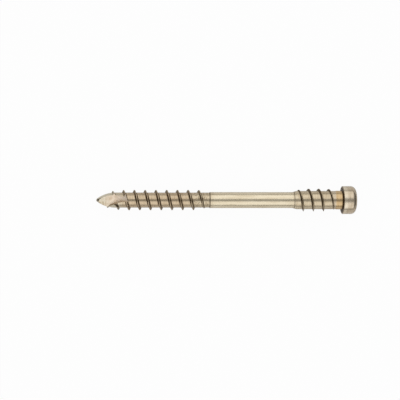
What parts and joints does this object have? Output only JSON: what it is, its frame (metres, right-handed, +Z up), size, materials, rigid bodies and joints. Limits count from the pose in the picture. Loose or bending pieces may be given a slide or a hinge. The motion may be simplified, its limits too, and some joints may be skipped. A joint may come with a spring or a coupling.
{
  "type": "deck screw",
  "caption": "Deck screw with a cylindrical head, lobed drive recess, short coarse thread under the head, plain shank, coarse lower thread and a rounded point with a cutting flute.",
  "frame": {"origin": "on the surface that the screw lies on, under the middle of its bounding box", "axes": "+X from the point towards the head, +Y across, +Z up; the screw lies at rest on its head's rim and on a thread crest, so its axis rises by about one degree towards the head, and the cutting flute faces up"},
  "size_m": [0.0636, 0.0068, 0.0069],
  "materials": {
    "plated_steel": "satin champagne-coloured plating over steel, darker on the thread flanks, amber at the neck"
  },
  "bodies": {
    "root": {"deck_screw": "plated_steel"}
  },
  "joints": []
}
